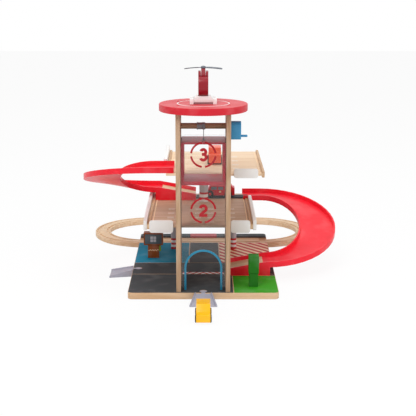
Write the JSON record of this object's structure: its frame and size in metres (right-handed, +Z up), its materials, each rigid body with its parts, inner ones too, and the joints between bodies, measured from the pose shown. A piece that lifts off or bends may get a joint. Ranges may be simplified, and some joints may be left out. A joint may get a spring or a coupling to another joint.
{
  "type": "toy parking garage",
  "caption": "Wooden toy parking garage: crank lift in a tower with a helipad, parking decks on columns, spiral car ramps, a railway loop, small cars and a helicopter.",
  "frame": {"origin": "middle of the base board's underside, on the floor", "axes": "+Z up, -Y towards the front with the lift's doorway, +X to the right with the crank"},
  "size_m": [0.616, 0.904, 0.5023],
  "materials": {
    "birch_edge": "satin",
    "track_wood": "satin",
    "post_wood": "satin",
    "deck_ply": "satin",
    "rail_wood": "satin",
    "red_paint": "painted satin",
    "cabin_red": "satin",
    "ramp_red": "semi-gloss",
    "clear_sheet": "clear",
    "arch_blue": "semi-gloss",
    "white_paint": "painted satin",
    "grey_paint": "painted satin",
    "dark_paint": "painted satin",
    "entry_grey": "satin",
    "pump_brown": "painted satin",
    "screen_grey": "satin",
    "green_paint": "painted satin",
    "spool_grey": "satin",
    "cord_grey": "matte",
    "crank_blue": "semi-gloss",
    "rotor_grey": "satin",
    "car_yellow": "painted satin",
    "car_orange": "painted satin",
    "tyre_black": "satin"
  },
  "bodies": {
    "frame": {"base_board": "birch_edge", "track_straight_front": "track_wood", "track_straight_rear": "track_wood", "track_curve_left_front": "track_wood", "track_curve_left_rear": "track_wood", "track_curve_right_front": "track_wood", "track_curve_right_rear": "track_wood", "station_platform": "dark_paint", "tower_side_left": "post_wood", "tower_side_right": "post_wood", "helipad_disc": "red_paint", "front_sheet": "clear_sheet", "door_arch": "arch_blue", "deck_two": "deck_ply", "deck_three": "deck_ply", "rail_two_left": "rail_wood", "rail_two_right": "rail_wood", "rail_three_left": "rail_wood", "rail_three_right": "rail_wood", "wall_two_left": "white_paint", "wall_two_right": "white_paint", "wall_three_left": "white_paint", "column_left": "grey_paint", "column_right": "grey_paint", "column_upper": "grey_paint", "sign_two_left": "white_paint", "sign_two_right": "white_paint", "sign_three_right": "white_paint", "bridge_plate": "dark_paint", "ramp_right": "ramp_red", "ramp_right_insert": "track_wood", "ramp_left": "ramp_red", "ramp_left_insert": "track_wood", "entry_ramp_front": "entry_grey", "entry_ramp_side": "entry_grey", "pump_body": "pump_brown", "pump_head": "pump_brown", "pump_screen": "screen_grey", "tree_trunk": "green_paint", "tree_crown": "green_paint"},
    "lift": {"lift_cabin": "cabin_red", "lift_hook": "spool_grey", "lift_cord": "cord_grey"},
    "crank": {"winch_axle": "rail_wood", "cord_spool": "spool_grey", "crank_arm": "crank_blue", "crank_peg": "crank_blue"},
    "helicopter": {"heli_base": "white_paint", "heli_body": "red_paint"},
    "rotor": {"heli_rotor": "rotor_grey"},
    "yellow_car": {"yellow_car_body": "car_yellow"},
    "yellow_car_front_wheels_turn": {"yellow_car_front_wheels": "tyre_black"},
    "yellow_car_rear_wheels_turn": {"yellow_car_rear_wheels": "tyre_black"},
    "orange_car": {"orange_car_body": "car_orange"},
    "orange_car_front_wheels_turn": {"orange_car_front_wheels": "tyre_black"},
    "orange_car_rear_wheels_turn": {"orange_car_rear_wheels": "tyre_black"},
    "fire_truck": {"fire_truck_body": "red_paint"},
    "fire_truck_front_wheels_turn": {"fire_truck_front_wheels": "tyre_black"},
    "fire_truck_rear_wheels_turn": {"fire_truck_rear_wheels": "tyre_black"}
  },
  "joints": [
    {"name": "lift_slide", "type": "slide", "parent": "frame", "child": "lift", "axis": [0, 0, 1], "range_m": [-0.234, 0], "deforming": ["lift_cord"]},
    {"name": "crank_turn", "type": "hinge", "parent": "frame", "child": "crank", "pos_m": [0, -0.197, 0.374], "axis": [1, 0, 0], "range_deg": [0, 1910]},
    {"name": "helicopter_lift_off", "type": "slide", "parent": "frame", "child": "helicopter", "axis": [0, 0, 1], "range_m": [0, 0.1]},
    {"name": "rotor_spin", "type": "hinge", "parent": "helicopter", "child": "rotor", "pos_m": [0, -0.197, 0.498], "axis": [0, 0, 1], "continuous": true},
    {"name": "yellow_car_roll", "type": "slide", "parent": "frame", "child": "yellow_car", "axis": [0, 1, 0], "range_m": [-0.15, 0.03]},
    {"name": "yellow_car_front_axle", "type": "hinge", "parent": "yellow_car", "child": "yellow_car_front_wheels_turn", "pos_m": [0, -0.413, 0.0085], "axis": [1, 0, 0], "range_deg": [-208, 1017]},
    {"name": "yellow_car_rear_axle", "type": "hinge", "parent": "yellow_car", "child": "yellow_car_rear_wheels_turn", "pos_m": [0, -0.369, 0.0085], "axis": [1, 0, 0], "range_deg": [-208, 1017]},
    {"name": "orange_car_roll", "type": "slide", "parent": "frame", "child": "orange_car", "axis": [0, 1, 0], "range_m": [-0.08, 0.08]},
    {"name": "orange_car_front_axle", "type": "hinge", "parent": "orange_car", "child": "orange_car_front_wheels_turn", "pos_m": [0.027, -0.0195, 0.2659], "axis": [1, 0, 0], "range_deg": [-545, 545]},
    {"name": "orange_car_rear_axle", "type": "hinge", "parent": "orange_car", "child": "orange_car_rear_wheels_turn", "pos_m": [0.027, 0.0145, 0.2659], "axis": [1, 0, 0], "range_deg": [-545, 545]},
    {"name": "fire_truck_roll", "type": "slide", "parent": "frame", "child": "fire_truck", "axis": [1, 0, 0], "range_m": [-0.017, 0.017]},
    {"name": "fire_truck_front_axle", "type": "hinge", "parent": "fire_truck", "child": "fire_truck_front_wheels_turn", "pos_m": [0.017, 0.167, 0.1492], "axis": [0, 1, 0], "range_deg": [-120, 120]},
    {"name": "fire_truck_rear_axle", "type": "hinge", "parent": "fire_truck", "child": "fire_truck_rear_wheels_turn", "pos_m": [0.063, 0.167, 0.1492], "axis": [0, 1, 0], "range_deg": [-120, 120]}
  ],
  "couplings": [
    {"joint": "crank_turn", "follows": "lift_slide", "rad_per_m": -141.84},
    {"joint": "yellow_car_front_axle", "follows": "yellow_car_roll", "rad_per_m": -117.65},
    {"joint": "yellow_car_rear_axle", "follows": "yellow_car_roll", "rad_per_m": -117.65},
    {"joint": "orange_car_front_axle", "follows": "orange_car_roll", "rad_per_m": -117.65},
    {"joint": "orange_car_rear_axle", "follows": "orange_car_roll", "rad_per_m": -117.65},
    {"joint": "fire_truck_front_axle", "follows": "fire_truck_roll", "rad_per_m": 117.65},
    {"joint": "fire_truck_rear_axle", "follows": "fire_truck_roll", "rad_per_m": 117.65}
  ]
}
